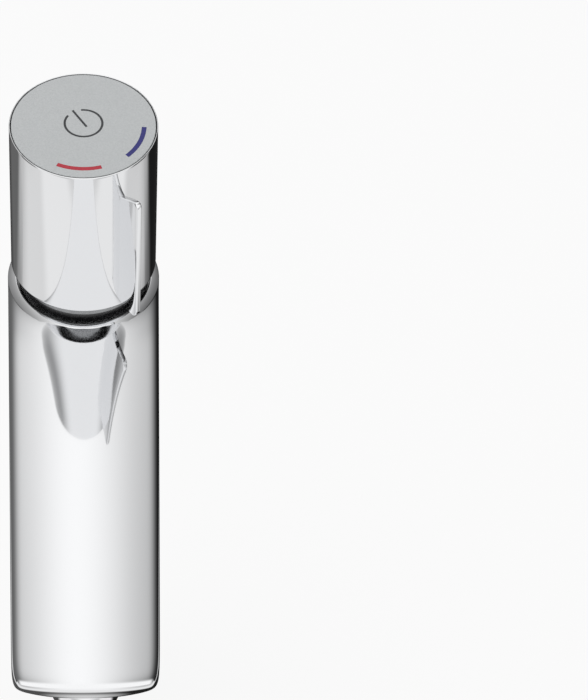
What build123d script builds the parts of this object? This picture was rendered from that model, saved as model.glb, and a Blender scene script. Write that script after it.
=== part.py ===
from build123d import *
import math
import os

# Basin mixer tap, millimetres. The column stands on z = 0, the face of the basin,
# and the spout points along -Y. The knob group is turned as in the photo.

# Column
column_r = 22.05
ring_top_z = 4.5
rim_z = 134.6
rim_slope_height = 0.85
rim_land = 0.4
shell_wall = 3.2

# Spout
spout_tip_y = -144.6
spout_taper = 0.72
spout_slope = 5.0
spout_crown_r = 98.0
spout_bow_r = 70.0
spout_corner_r = 7.5
spout_under_z = 112.5
spout_root_drop = 12.0
spout_flat_y = -112.0
nose_undercut = 30.0
spout_top_round = 3.2
spout_under_round = 2.0
spout_low_z = 95.0
spout_high_z = 140.0
spout_inner_y = 10.0
spout_inner_dip = 3.0

# Neck and the spaces inside the column
neck_r = 18.5
neck_wall = 2.5
neck_foot_z = 127.5
neck_top_z = 148.0
neck_flange = 2.0
rim_gap = 0.9
rim_gap_depth = 2.0
neck_fit = 0.05
neck_top_chamfer = 0.5
neck_hole_gap = 0.6
neck_ring_rise = 2.5
neck_ring_cord_r = 0.55
neck_groove_half = 0.8
nut_thread_r = 17.0
thread_fit = 0.05
chamber_r = 15.4
chamber_fit = 0.05
flange_seat_z = 119.0
seat_z = 80.0
seat_under_z = 62.0

# Inlets and the water way
inlet_x = 8.4
inlet_thread_r = 5.0
inlet_thread_length = 7.0
inlet_bore_r = 2.8
duct_width = 14.0
duct_height = 3.2
duct_root_z = 116.0
duct_tip_z = 119.7

# Aerator
aerator_y = -128.0
aerator_thread_r = 8.25
aerator_flange_r = 9.6
aerator_drop = 9.0
aerator_shoulder_z = 118.0
plenum_r = 6.8

# Cartridge
base_height = 9.0
disc_height = 3.5
disc_r = 12.4
rotor_r = 12.1
shell_inner_r = 12.5
shell_outer_r = 14.0
shell_flange_r = 16.5
shell_flange = 3.0
shell_neck_r = 8.5
shell_neck_top_z = 134.0
plate_height = 5.0
washer_height = 1.0
washer_play = 0.6
disc_port_r = 2.6
disc_centre_r = 3.4
mix_depth = 1.8
mix_rim = 1.1
mix_half_angle = 80.0
stem_r = 5.0
stem_fit = 0.05
rod_r = 1.8
rod_fit = 0.1
rod_play = 0.6
stop_height = 3.0
stop_half_angle = 10.0
stop_free_half_angle = 62.5
stop_lift = 0.3
stop_ring_play = 0.1
stop_hub = 0.9
nut_height = 5.0
nut_bore_r = 10.0
notch_half = 1.5
notch_reach = 2.5
notch_floor = 2.0

# Valve under the discs
plunger_r = 3.3
plunger_fit = 0.05
plunger_length = 7.0
pocket_r = 3.6
pocket_depth = 10.0
valve_coil_r = 2.4
valve_wire_r = 0.35
valve_coils = 6

# Seals, driving lugs and the inside of the aerator
seal_recess_r = 4.3
seal_recess = 1.2
seal_play = 0.2
way_out_rise = 2.9
way_out_height = 2.5
way_out_half = 2.5
way_up_half = 4.0
stem_cord_r = 0.8
stem_groove_r = 3.42
stem_groove_half = 1.0
seal_touch = 0.01
stem_seal_z = (112.0, 118.0)
plunger_seal_z = 86.1
plunger_cord_r = 0.4
plunger_groove_r = 2.52
plunger_groove_half = 0.5
drive_lug_r = 1.2
drive_lug = 1.5
drive_lug_y = 1.0
drive_fit = 0.05
drive_end = 0.1
washer_thickness = 1.5
aerator_lip = 1.5
insert_r = 7.35
insert_wall = 1.0
insert_floor = 2.0
insert_rim = 1.8
aerator_lip_wall = 0.8
aerator_round = 0.6
mesh_thickness = 0.5
mesh_pitch = 1.2
mesh_half = 0.4
mesh_rim = 0.9
washer_fit = 0.05
washer_lip = 0.6
jet_pitch = 1.9
jet_half = 0.7

# Knob
rest_turn = 31.0
knob_r = 21.0
knob_base_z = 141.6
knob_height = 54.4
sleeve_wall = 1.6
knob_edge_round = 0.2
knob_lip_gap = 0.3
knob_lip_height = 1.0
core_wall = 3.85
core_floor_z = 149.0
core_floor = 5.0
core_top_z = 185.5
core_hub_r = 10.5
core_hub_height = 23.0
spindle_flat = 4.1
spindle_thread_r = 4.0
spindle_top_z = 171.0
spindle_chamfer = 0.6
knob_nut_z = 165.0
knob_nut_height = 4.0
knob_nut_across = 11.0
knob_nut_well_r = 7.2

# Fin lever
fin_thickness = 1.6
fin_reach = 9.1
fin_root_top_z = 186.0
fin_top_slope = 0.57
fin_base_lift = 2.0
fin_low_corner_r = 3.0
fin_high_corner_r = 2.0
fin_tab_tip_r = 12.6
fin_tab_height = 6.0
fin_tab_z = (161.0, 177.0)
fin_slot_fit = 0.1
fin_root = 0.5
pin_r = 0.8
pin_length = 6.0
pin_at_r = 14.3

# Button
button_gap = 0.3
button_face = 2.6
button_sink_r = 20.7
button_sink = 6.0
button_round = 0.15
skirt_r = 19.1
skirt_wall = 0.9
skirt_height = 3.9
button_hub_r = 4.5
button_hub_z = 183.0
rod_top_z = 192.0
coil_r = 8.8
coil_wire_r = 0.6
coils = 6
mark_depth = 0.25
mark_fit = 0.03
mark_line = 0.6
symbol_r = 5.3
symbol_shift_x = 0.45
symbol_shift_y = 0.75
symbol_gap_half_angle = 24.0
symbol_bar_top = 6.7
symbol_bar_length = 7.6
arc_r = 17.05
arc_width = 1.3
arc_half_angle = 21.3
arc_side_angle = 35.5

# Key that keeps the button in line with the fin
press_travel = 3.0
key_width = 3.0
key_fit = 0.3
key_end = 0.5
key_depth = 2.2
key_low_z = 183.0

# Base ring, seal and clamp
ring_r = 23.0
ring_lift = 0.4
ring_chamfer = 0.8
ring_bore_r = 18.0
ring_lip = 0.8
ring_lip_height = 3.0
seal_top_z = 1.8
seal_r = 22.15
seal_bore_r = 18.95
seal_fit = 0.05
stud_y = 12.6
stud_r = 3.95
stud_hole_r = 4.0
stud_top_z = 22.0
stud_end_z = -62.0
stud_chamfer = 0.8
stud_slot_half = 0.7
stud_slot_depth = 1.5
boss_r = 6.5
boss_z = 8.5
boss_top_z = 30.0
deck_thickness = 20.0
clamp_r = 22.5
clamp_layer = 2.5
clamp_slot_half = 14.0
clamp_slot_end_y = 6.0
clamp_hole_r = 4.3
clamp_nut_across = 13.0
clamp_nut_height = 12.0
clamp_nut_corner_r = 7.28
clamp_nut_chamfer = 0.8

# Heights and radii that follow from the ones above
discs_z = seat_z + base_height
rotor_z = discs_z + disc_height
plate_z = rotor_z + disc_height
plate_top_z = plate_z + plate_height
shell_ceiling_z = plate_top_z + washer_height
shell_top_z = flange_seat_z + shell_flange
knob_top_z = knob_base_z + knob_height
button_under_z = knob_top_z - button_face
button_r = button_sink_r - button_gap
knob_lip_r = neck_r + knob_lip_gap
sleeve_inner_r = knob_r - sleeve_wall
core_inner_r = sleeve_inner_r - core_wall
core_hub_top_z = core_floor_z + core_hub_height
far = 400.0


def bar(radius, low, high, x=0.0, y=0.0):
    """Upright round bar between two heights."""
    return Pos(x, y, (low + high) / 2) * Cylinder(radius, high - low)


def ring(outer, inner, low, high, x=0.0, y=0.0):
    """Upright tube between two heights."""
    return bar(outer, low, high, x, y) - bar(inner, low - 1, high + 1, x, y)


def block(x0, x1, y0, y1, z0, z1):
    """Box between two corners."""
    middle = Pos((x0 + x1) / 2, (y0 + y1) / 2, (z0 + z1) / 2)
    return middle * Box(x1 - x0, y1 - y0, z1 - z0)


def hexagon(across, low, high, x=0.0, y=0.0):
    """Upright hexagon prism, sized across its flats."""
    outline = Pos(x, y, low) * RegularPolygon(across / 2, 6, major_radius=False)
    return extrude(outline, high - low)


def wedge(centre_angle, half_angle, reach, low, high):
    """Pie slice about the Z axis; angles are taken from the front, -Y."""
    points = [(0.0, 0.0)]
    for step in range(-4, 5):
        angle = math.radians(-90.0 + centre_angle + half_angle * step / 4)
        points.append((reach * math.cos(angle), reach * math.sin(angle)))
    outline = make_face(Polyline(*points, close=True))
    return extrude(Pos(0, 0, low) * outline, high - low)


def o_ring(centre_r, cord_r, z, x=0.0, y=0.0):
    """Rubber ring lying flat."""
    return Pos(x, y, z) * Torus(centre_r, cord_r)


def coil(centre_r, wire_r, low, high, turns):
    """Compression spring with its ends ground flat."""
    path = Helix((high - low) / turns, high - low, centre_r)
    start = Plane(origin=path @ 0, z_dir=path % 0)
    wire = Pos(0, 0, low) * sweep(start * Circle(wire_r), path=path, is_frenet=True)
    return wire & block(-far, far, -far, far, low, high)


def spout_outline(end_y, height):
    """Plan of the spout at one height, closed inside the column."""
    taper = math.radians(spout_taper)
    touch_x = column_r * math.cos(taper)
    touch_y = -column_r * math.sin(taper)
    end_half = touch_x - math.tan(taper) * (touch_y - end_y)
    sag = spout_bow_r - math.sqrt(spout_bow_r ** 2 - end_half ** 2)
    side_y = end_y + sag
    side_half = touch_x - math.tan(taper) * (touch_y - side_y)
    left = Line((-side_half, side_y), (-touch_x, touch_y))
    back = Line((-touch_x, touch_y), (touch_x, touch_y))
    right = Line((touch_x, touch_y), (side_half, side_y))
    bow = ThreePointArc((side_half, side_y), (0, end_y), (-side_half, side_y))
    face = make_face([left, back, right, bow])
    corners = face.vertices().sort_by(Axis.Y)[0:2]
    face = fillet(corners, spout_corner_r)
    return Pos(0, 0, height) * face


def spout_solid():
    """Crowned, tapering spout with rounded long edges."""
    lean = math.tan(math.radians(nose_undercut))
    slope = math.radians(spout_slope)
    root_z = rim_z - rim_slope_height
    tip_z = root_z - (-column_r - spout_tip_y) * math.tan(slope)
    low_end = spout_tip_y + (tip_z - spout_low_z) * lean
    high_end = spout_tip_y - (spout_high_z - tip_z) * lean
    lower = spout_outline(low_end, spout_low_z)
    upper = spout_outline(high_end, spout_high_z)
    slab = loft([lower, upper], ruled=True)
    # Side view of the underside: level under the nose, then a long arc down to the column
    run = -column_r - spout_flat_y
    belly_r = (run ** 2 + spout_root_drop ** 2) / (2 * spout_root_drop)
    half_run = run / 2
    half_drop = belly_r - math.sqrt(belly_r ** 2 - half_run ** 2)
    root_under_z = spout_under_z - spout_root_drop
    side = Plane.YZ
    level = Line((-far, spout_under_z), (spout_flat_y, spout_under_z))
    belly = ThreePointArc(
        (spout_flat_y, spout_under_z),
        (spout_flat_y + half_run, spout_under_z - half_drop),
        (-column_r, root_under_z))
    inner_z = root_under_z - spout_inner_dip
    inner = Line((-column_r, root_under_z), (spout_inner_y, inner_z))
    back = Line((spout_inner_y, inner_z), (spout_inner_y, far))
    top = Line((spout_inner_y, far), (-far, far))
    front = Line((-far, far), (-far, spout_under_z))
    profile = make_face([level, belly, inner, back, top, front])
    side_body = extrude(side * profile, column_r * 2, both=True)
    # The crown is a large cylinder lying along the slope
    crown = Cylinder(spout_crown_r, far * 2)
    crown = Rot(90 + spout_slope, 0, 0) * crown
    lift = spout_crown_r / math.cos(slope)
    crown = Pos(0, -column_r, root_z - lift) * crown
    body = slab & side_body & crown
    return body


def spout_rounded():
    """The spout with its top edges rounded, and its under edges a little less."""
    body = spout_solid()
    crown = body.faces().sort_by(Axis.Z)[-1]
    rim_edges = [edge for edge in crown.edges() if edge.center().Y < -column_r / 4]
    body = fillet(rim_edges, spout_top_round)
    under = [face for face in body.faces() if face.center().Z < spout_under_z + 0.01]
    under = [face for face in under if face.center().Y < -column_r]
    edges = []
    for face in under:
        for edge in face.edges():
            middle = edge.center()
            along_side = abs(middle.X) > column_r / 4 and middle.Y < -column_r
            at_nose = middle.Y < aerator_y
            if along_side or at_nose:
                edges.append(edge)
    return fillet(edges, spout_under_round)


def make_body_casting():
    """Column and spout, cast as one, with every space inside it."""
    column = bar(column_r, ring_top_z, rim_z - rim_slope_height)
    # The top slopes up all round to a narrow flat beside the neck
    rim = Cone(column_r, neck_r + rim_gap + rim_land, rim_slope_height)
    rim = Pos(0, 0, rim_z - rim_slope_height / 2) * rim
    body = column + rim + spout_rounded()
    # Neck socket, thread for the cartridge nut, cartridge chamber
    body -= bar(neck_r + rim_gap, rim_z - rim_gap_depth, rim_z + 5)
    body -= bar(neck_r + neck_fit, neck_foot_z, rim_z)
    body -= bar(nut_thread_r, flange_seat_z, rim_z)
    body -= bar(chamber_r, seat_z, rim_z)
    body -= bar(pocket_r, seat_z - pocket_depth, seat_z + 1)
    # Hollow under the seat, with the boss that takes the stud
    hollow = bar(column_r - shell_wall, ring_top_z - 1, seat_under_z)
    stud_boss = bar(boss_r, boss_z, boss_top_z, 0, stud_y)
    web = block(-boss_r, boss_r, stud_y, column_r - 1, boss_z, boss_top_z)
    body -= hollow - stud_boss - web
    body -= bar(stud_hole_r, boss_z - 1, stud_top_z + 1, 0, stud_y)
    for side in (-1, 1):
        thread_end = seat_under_z + inlet_thread_length
        body -= bar(inlet_thread_r, seat_under_z - 1, thread_end, side * inlet_x)
        body -= bar(inlet_bore_r, thread_end - 1, seat_z + 1, side * inlet_x)
    # Water way from the chamber to the aerator
    root_y = -(chamber_r - 2)
    half = duct_height / 2
    duct_side = Polyline(
        (root_y, duct_root_z - half), (root_y, duct_root_z + half),
        (aerator_y, duct_tip_z + half), (aerator_y, duct_tip_z - half), close=True)
    body -= extrude(Plane.YZ * make_face(duct_side), duct_width / 2, both=True)
    thread_hole_r = aerator_thread_r + thread_fit
    body -= bar(thread_hole_r, spout_under_z - 1, aerator_shoulder_z, 0, aerator_y)
    body -= bar(plenum_r, aerator_shoulder_z - 1, duct_tip_z + half, 0, aerator_y)
    return body


def make_base_ring():
    """Chromed ring under the column, with a lip that centres it."""
    outer = bar(ring_r, ring_lift, ring_top_z)
    outer = chamfer(outer.edges().sort_by(Axis.Z)[-1], ring_chamfer)
    lip = bar(ring_bore_r + ring_lip, ring_top_z - 1, ring_top_z + ring_lip_height)
    body = outer + lip - bar(ring_bore_r, 0, rim_z)
    groove = ring(seal_r + seal_fit, seal_bore_r - seal_fit, 0, seal_top_z)
    return body - groove


def make_bonnet():
    """Black moulded neck with a collar through which the spindle passes."""
    body = bar(neck_r, neck_foot_z, neck_top_z)
    body = chamfer(body.edges().sort_by(Axis.Z)[-1], neck_top_chamfer)
    body -= bar(neck_r - neck_wall, neck_foot_z - 1, neck_top_z - neck_flange)
    body -= bar(stem_r + neck_hole_gap, neck_foot_z, neck_top_z + 1)
    groove_z = neck_foot_z + neck_ring_rise
    floor_r = neck_r - 2 * neck_ring_cord_r
    return body - ring(neck_r + 1, floor_r, groove_z - neck_groove_half, groove_z + neck_groove_half)


def make_cartridge_nut():
    """Ring nut with four spanner notches."""
    low = shell_top_z
    body = ring(nut_thread_r - thread_fit, nut_bore_r, low, low + nut_height)
    for turn in range(4):
        notch = block(
            -notch_half, notch_half, nut_bore_r - 1, nut_bore_r + notch_reach,
            low + notch_floor, low + nut_height + 1)
        body -= Rot(0, 0, 45 + 90 * turn) * notch
    return body


def make_cartridge_housing():
    """Plastic shell that holds the discs, with the stop lug on its neck."""
    body = bar(shell_outer_r, discs_z, shell_top_z)
    body += bar(shell_flange_r, flange_seat_z, shell_top_z)
    body += bar(shell_neck_r, shell_top_z - 1, shell_neck_top_z)
    lug_top_z = shell_neck_top_z + stop_height
    lug = ring(shell_neck_r, stem_r + stop_hub + stop_ring_play, shell_neck_top_z - 1, lug_top_z)
    lug = lug & wedge(0, stop_half_angle, shell_neck_r * 2, shell_neck_top_z - 1, lug_top_z)
    body += lug
    body -= bar(shell_inner_r, discs_z - 1, shell_ceiling_z)
    body -= bar(stem_r + stem_fit, discs_z, lug_top_z + 1)
    return body


def make_cartridge_base():
    """Foot of the cartridge with the two inlets and the seat of the valve."""
    body = bar(chamber_r - chamber_fit, seat_z, discs_z)
    body -= bar(plunger_r + plunger_fit, seat_z - 1, discs_z + 1)
    for side in (-1, 1):
        x = side * inlet_x
        body -= bar(inlet_bore_r, seat_z - 1, discs_z + 1, x)
        body -= bar(seal_recess_r, seat_z - 1, seat_z + seal_recess, x)
        body -= bar(seal_recess_r, discs_z - seal_recess, discs_z + 1, x)
    low = seat_z + way_out_rise
    body -= block(-way_out_half, way_out_half, -chamber_r, 0, low, low + way_out_height)
    body -= block(-way_up_half, way_up_half, -chamber_r - 1, -shell_outer_r, low, discs_z + 1)
    return body


def make_seal_pair(z):
    """Two rubber rings, one round each inlet."""
    cord_r = seal_recess / 2
    centre_r = seal_recess_r - cord_r - seal_play
    left = o_ring(centre_r, cord_r, z, -inlet_x)
    right = o_ring(centre_r, cord_r, z, inlet_x)
    return Compound(children=[left, right])


def make_fixed_disc():
    """Lower ceramic disc with two inlets and the way out in the middle."""
    body = bar(disc_r, discs_z, rotor_z)
    for side in (-1, 1):
        body -= bar(disc_port_r, discs_z - 1, rotor_z + 1, side * inlet_x)
    return body - bar(disc_centre_r, discs_z - 1, rotor_z + 1)


def make_rotor_disc():
    """Upper ceramic disc with the mixing hollow in its underside."""
    body = bar(rotor_r, rotor_z, plate_z)
    top = rotor_z + mix_depth
    fan = wedge(0, mix_half_angle, rotor_r * 2, rotor_z - 1, top)
    body -= fan & bar(rotor_r - mix_rim, rotor_z - 1, top)
    body -= bar(disc_centre_r + 1, rotor_z - 1, top)
    body -= bar(rod_r + rod_play, rotor_z, plate_z + 1)
    for side in (-1, 1):
        body -= bar(drive_lug_r + drive_fit, plate_z - drive_lug, plate_z + 1, side * inlet_x, drive_lug_y)
    return body


def make_spindle():
    """Hollow spindle: driving plate, stem, two flats and a thread."""
    body = bar(rotor_r, plate_z, plate_top_z)
    for side in (-1, 1):
        body += bar(drive_lug_r, plate_z - drive_lug + drive_end, plate_z + 1, side * inlet_x, drive_lug_y)
    body += bar(stem_r, plate_top_z - 1, core_floor_z)
    body += double_flat(stem_r, spindle_flat, core_floor_z - 1, knob_nut_z)
    thread = bar(spindle_thread_r, knob_nut_z, spindle_top_z)
    body += chamfer(thread.edges().sort_by(Axis.Z)[-1], spindle_chamfer)
    for z in stem_seal_z:
        body -= ring(stem_r + 1, stem_groove_r, z - stem_groove_half, z + stem_groove_half)
    return body - bar(rod_r + rod_fit, plate_z - drive_lug - 1, spindle_top_z + 1)


def double_flat(radius, flat, low, high):
    """Round bar with a flat on each side."""
    return bar(radius, low, high) & block(-flat, flat, -radius * 2, radius * 2, low, high)


def make_spindle_seals():
    """Two rubber rings in the spindle's grooves."""
    rings = []
    for z in stem_seal_z:
        rings.append(o_ring(stem_r + stem_fit - seal_touch - stem_cord_r, stem_cord_r, z))
    return Compound(children=rings)


def make_limit_ring():
    """Collar whose open part lets the knob turn between two stops."""
    low = shell_neck_top_z + stop_lift
    high = shell_neck_top_z + stop_height
    body = ring(shell_neck_r - stop_ring_play, stem_r, low, high)
    open_part = wedge(0, stop_free_half_angle, shell_neck_r * 2, low - 1, high + 1)
    return body - (open_part - bar(stem_r + stop_hub, low - 2, high + 2))


def make_plunger():
    """Valve plunger with a groove for its seal."""
    top = seat_z + plunger_length
    body = bar(plunger_r, seat_z, top)
    low = plunger_seal_z - plunger_groove_half
    return body - ring(plunger_r + 1, plunger_groove_r, low, low + 2 * plunger_groove_half)


def make_knob_sleeve():
    """Chromed tube of the knob, open at the top, with a lip round the neck below."""
    body = bar(knob_r, knob_base_z, knob_top_z)
    body = fillet(body.edges().filter_by(GeomType.CIRCLE), knob_edge_round)
    body -= bar(sleeve_inner_r, knob_base_z + knob_lip_height, knob_top_z + 1)
    body -= bar(knob_lip_r, knob_base_z - 1, knob_top_z)
    body -= bar(button_sink_r, knob_top_z - button_sink, knob_top_z + 1)
    for z in fin_tab_z:
        body -= fin_tab(z, fin_slot_fit)
    return body


def make_knob_core():
    """Plastic core between the spindle and the chromed tube."""
    body = ring(sleeve_inner_r, core_inner_r, core_floor_z, core_top_z)
    body += bar(sleeve_inner_r, core_floor_z, core_floor_z + core_floor)
    body += bar(core_hub_r, core_floor_z, core_hub_top_z)
    body -= double_flat(stem_r, spindle_flat, core_floor_z - 1, core_hub_top_z + 1)
    body -= bar(knob_nut_well_r, knob_nut_z, core_hub_top_z + 1)
    for z in fin_tab_z:
        body -= fin_tab(z, fin_slot_fit)
    slot = key_width / 2 + key_fit
    body -= block(-slot, slot, core_inner_r - 1, far, key_low_z - press_travel - key_end, far)
    return body


def fin_tab(z, fit):
    """One tab of the fin, or the slot for it when fit is above nothing."""
    half = fin_thickness / 2 + fit
    tall = fin_tab_height / 2 + fit
    return block(-half, half, -knob_r - 1, -fin_tab_tip_r, z - tall, z + tall)


def make_fin():
    """Upright fin with two tabs that pass through the knob's wall."""
    outer = -(knob_r + fin_reach)
    inner = -knob_r
    low = knob_base_z + fin_base_lift
    high = fin_root_top_z + fin_reach * fin_top_slope
    outline = make_face(Polyline(
        (inner, low), (outer, low), (outer, high), (inner, fin_root_top_z), close=True))
    outer_corners = outline.vertices().sort_by(Axis.X)[0:2].sort_by(Axis.Y)
    outline = fillet(outer_corners[0], fin_low_corner_r)
    high_corner = outline.vertices().sort_by(Axis.Y)[-1]
    outline = fillet(high_corner, fin_high_corner_r)
    body = extrude(Plane.YZ * outline, fin_thickness / 2, both=True)
    half = fin_thickness / 2
    root = block(-half, half, -knob_r - fin_root, -knob_r + fin_root, low, fin_root_top_z)
    body += root - bar(knob_r, 0, far)
    for z in fin_tab_z:
        body += fin_tab(z, 0)
        body -= Pos(0, -pin_at_r, z) * Rot(0, 90, 0) * Cylinder(pin_r, pin_length)
    return body


def make_fin_pins():
    """Two dowels that hold the fin's tabs behind the core's wall."""
    pins = []
    for z in fin_tab_z:
        pins.append(Pos(0, -pin_at_r, z) * Rot(0, 90, 0) * Cylinder(pin_r, pin_length))
    return Compound(children=pins)


def make_button():
    """Button disc with hub, skirt, key and the three shallow pockets."""
    body = bar(button_r, button_under_z, knob_top_z)
    body = fillet(body.edges().sort_by(Axis.Z)[-1], button_round)
    body += bar(button_hub_r, button_hub_z, button_under_z + 1)
    skirt_low = button_under_z - skirt_height
    body += ring(skirt_r, skirt_r - skirt_wall, skirt_low, button_under_z + 1)
    half = key_width / 2
    body += block(-half, half, skirt_r - key_depth, skirt_r - skirt_wall / 2, key_low_z, button_under_z + 1)
    body -= bar(rod_r, button_hub_z - 1, rod_top_z)
    body -= power_ring(mark_fit)
    body -= power_bar(mark_fit)
    for side in (-1, 1):
        body -= side_arc(side, mark_fit)
    return body


def power_ring(fit):
    """Open ring of the on and off symbol, let into the button."""
    low = knob_top_z - mark_depth - fit
    high = knob_top_z if fit == 0 else knob_top_z + 1
    half = mark_line / 2 + fit
    circle = ring(symbol_r + half, symbol_r - half, low, high)
    shrink = math.degrees(fit / symbol_r)
    circle -= Rot(0, 0, 180) * wedge(0, symbol_gap_half_angle - shrink, far, low - 1, high + 1)
    return Pos(symbol_shift_x, symbol_shift_y, 0) * circle


def power_bar(fit):
    """Upright bar of the on and off symbol."""
    low = knob_top_z - mark_depth - fit
    high = knob_top_z if fit == 0 else knob_top_z + 1
    half = mark_line / 2 + fit
    upper = symbol_bar_top + fit
    lower = symbol_bar_top - symbol_bar_length - fit
    bar_x = symbol_shift_x
    return block(bar_x - half, bar_x + half, lower, upper, low, high)


def side_arc(side, fit):
    """Coloured arc beside the fin: -1 is the hot side, 1 the cold side."""
    low = knob_top_z - mark_depth - fit
    high = knob_top_z if fit == 0 else knob_top_z + 1
    half = arc_width / 2 + fit
    band = ring(arc_r + half, arc_r - half, low, high)
    grow = math.degrees(fit / arc_r)
    return band & wedge(side * arc_side_angle, arc_half_angle + grow, far, low - 1, high + 1)


def make_aerator_housing():
    """Chromed ring with the thread that enters the spout."""
    low = spout_under_z - aerator_drop
    body = bar(aerator_flange_r, low, spout_under_z)
    body = fillet(body.edges().sort_by(Axis.Z)[0], aerator_round)
    body += bar(aerator_thread_r, spout_under_z - 1, aerator_shoulder_z - washer_thickness)
    body -= bar(insert_r, low + aerator_lip, aerator_shoulder_z)
    body -= bar(insert_r - aerator_lip_wall, low - 1, aerator_shoulder_z)
    return Pos(0, aerator_y, 0) * body


def make_aerator_insert():
    """Plastic jet former: a cup whose floor is a grid of square holes."""
    low = spout_under_z - aerator_drop + aerator_lip
    high = aerator_shoulder_z - washer_thickness - mesh_thickness
    body = bar(insert_r, low, high) - bar(insert_r - insert_wall, low + insert_floor, high + 1)
    for column in range(-3, 4):
        for row in range(-3, 4):
            x = column * jet_pitch
            y = row * jet_pitch
            if math.hypot(x, y) < insert_r - insert_rim:
                body -= block(
                    x - jet_half, x + jet_half, y - jet_half, y + jet_half, low - 1, low + insert_floor + 1)
    return Pos(0, aerator_y, 0) * body


def make_aerator_mesh():
    """Steel screen on top of the jet former."""
    high = aerator_shoulder_z - washer_thickness
    body = bar(insert_r, high - mesh_thickness, high)
    for column in range(-5, 6):
        for row in range(-5, 6):
            x = column * mesh_pitch
            y = row * mesh_pitch
            if math.hypot(x, y) < insert_r - mesh_rim:
                body -= block(x - mesh_half, x + mesh_half, y - mesh_half, y + mesh_half, high - 1, high + 1)
    return Pos(0, aerator_y, 0) * body


def make_stud():
    """Threaded stud with a screwdriver slot at its lower end."""
    body = bar(stud_r, stud_end_z, stud_top_z)
    body = chamfer(body.edges().filter_by(GeomType.CIRCLE), stud_chamfer)
    body -= block(-stud_slot_half, stud_slot_half, -far, far, stud_end_z - 1, stud_end_z + stud_slot_depth)
    return Pos(0, stud_y, 0) * body


def clamp_outline(low, high):
    """Horseshoe that passes round the two hoses and the stud."""
    body = bar(clamp_r, low, high)
    half = clamp_slot_half
    opening = block(-half, half, -far, clamp_slot_end_y - half / 2, low - 1, high + 1)
    opening += block(-half / 2, half / 2, -far, clamp_slot_end_y, low - 1, high + 1)
    for side in (-1, 1):
        opening += bar(half / 2, low - 1, high + 1, side * half / 2, clamp_slot_end_y - half / 2)
    return body - opening


def make_clamp_plate():
    """Steel horseshoe with the hole for the stud."""
    high = -deck_thickness - clamp_layer
    return clamp_outline(high - clamp_layer, high) - bar(clamp_hole_r, -far, 0, 0, stud_y)


def make_clamp_seal():
    """Rubber horseshoe between the plate and the underside of the basin."""
    high = -deck_thickness
    return clamp_outline(high - clamp_layer, high) - bar(clamp_hole_r, -far, 0, 0, stud_y)


def make_fixing_nut():
    """Long hexagon nut on the stud."""
    high = -deck_thickness - 2 * clamp_layer
    low = high - clamp_nut_height
    body = hexagon(clamp_nut_across, low, high, 0, stud_y)
    turned = bar(clamp_nut_corner_r, low, high, 0, stud_y)
    turned = chamfer(turned.edges().filter_by(GeomType.CIRCLE), clamp_nut_chamfer)
    return (body & turned) - bar(stud_r, low - 1, high + 1, 0, stud_y)


def make_knob_nut():
    """Hexagon nut that holds the knob's core on the spindle."""
    high = knob_nut_z + knob_nut_height
    return hexagon(knob_nut_across, knob_nut_z, high) - bar(spindle_thread_r, knob_nut_z - 1, high + 1)


fixed_parts = {
    "body_casting": make_body_casting(),
    "base_ring": make_base_ring(),
    "base_seal": ring(seal_r, seal_bore_r, 0, seal_top_z),
    "bonnet": make_bonnet(),
    "bonnet_seal": o_ring(
        neck_r + neck_fit / 2 - neck_ring_cord_r, neck_ring_cord_r, neck_foot_z + neck_ring_rise),
    "cartridge_nut": make_cartridge_nut(),
    "cartridge_housing": make_cartridge_housing(),
    "cartridge_base": make_cartridge_base(),
    "inlet_seals": make_seal_pair(seat_z + seal_recess / 2),
    "disc_seals": make_seal_pair(discs_z - seal_recess / 2),
    "ceramic_disc_fixed": make_fixed_disc(),
    "slip_ring": ring(rotor_r - washer_play, stem_r + washer_play, plate_top_z, shell_ceiling_z),
    "valve_plunger": make_plunger(),
    "valve_seal": o_ring(
        plunger_r + plunger_fit - seal_touch - plunger_cord_r, plunger_cord_r, plunger_seal_z),
    "valve_spring": coil(valve_coil_r, valve_wire_r, seat_z - pocket_depth, seat_z, valve_coils),
    "aerator_housing": make_aerator_housing(),
    "aerator_insert": make_aerator_insert(),
    "aerator_mesh": make_aerator_mesh(),
    "aerator_seal": Pos(0, aerator_y, 0) * ring(
        aerator_thread_r - washer_fit, plenum_r - washer_lip,
        aerator_shoulder_z - washer_thickness, aerator_shoulder_z),
    "fixing_stud": make_stud(),
    "clamp_seal": make_clamp_seal(),
    "clamp_plate": make_clamp_plate(),
    "fixing_nut": make_fixing_nut(),
}

turning_parts = {
    "ceramic_disc_rotor": make_rotor_disc(),
    "spindle": make_spindle(),
    "spindle_seals": make_spindle_seals(),
    "limit_ring": make_limit_ring(),
    "knob_sleeve": make_knob_sleeve(),
    "knob_core": make_knob_core(),
    "knob_nut": make_knob_nut(),
    "fin_lever": make_fin(),
    "fin_pins": make_fin_pins(),
    "button_cap": make_button(),
    "power_ring": power_ring(0),
    "power_bar": power_bar(0),
    "hot_mark": side_arc(-1, 0),
    "cold_mark": side_arc(1, 0),
    "push_rod": bar(rod_r, seat_z + plunger_length, rod_top_z),
    "button_spring": coil(coil_r, coil_wire_r, core_hub_top_z, button_under_z, coils),
}

os.makedirs("parts", exist_ok=True)
for name, shape in fixed_parts.items():
    export_step(shape, "parts/" + name + ".step")
for name, shape in turning_parts.items():
    export_step(Rot(0, 0, rest_turn) * shape, "parts/" + name + ".step")
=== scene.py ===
import math

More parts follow.
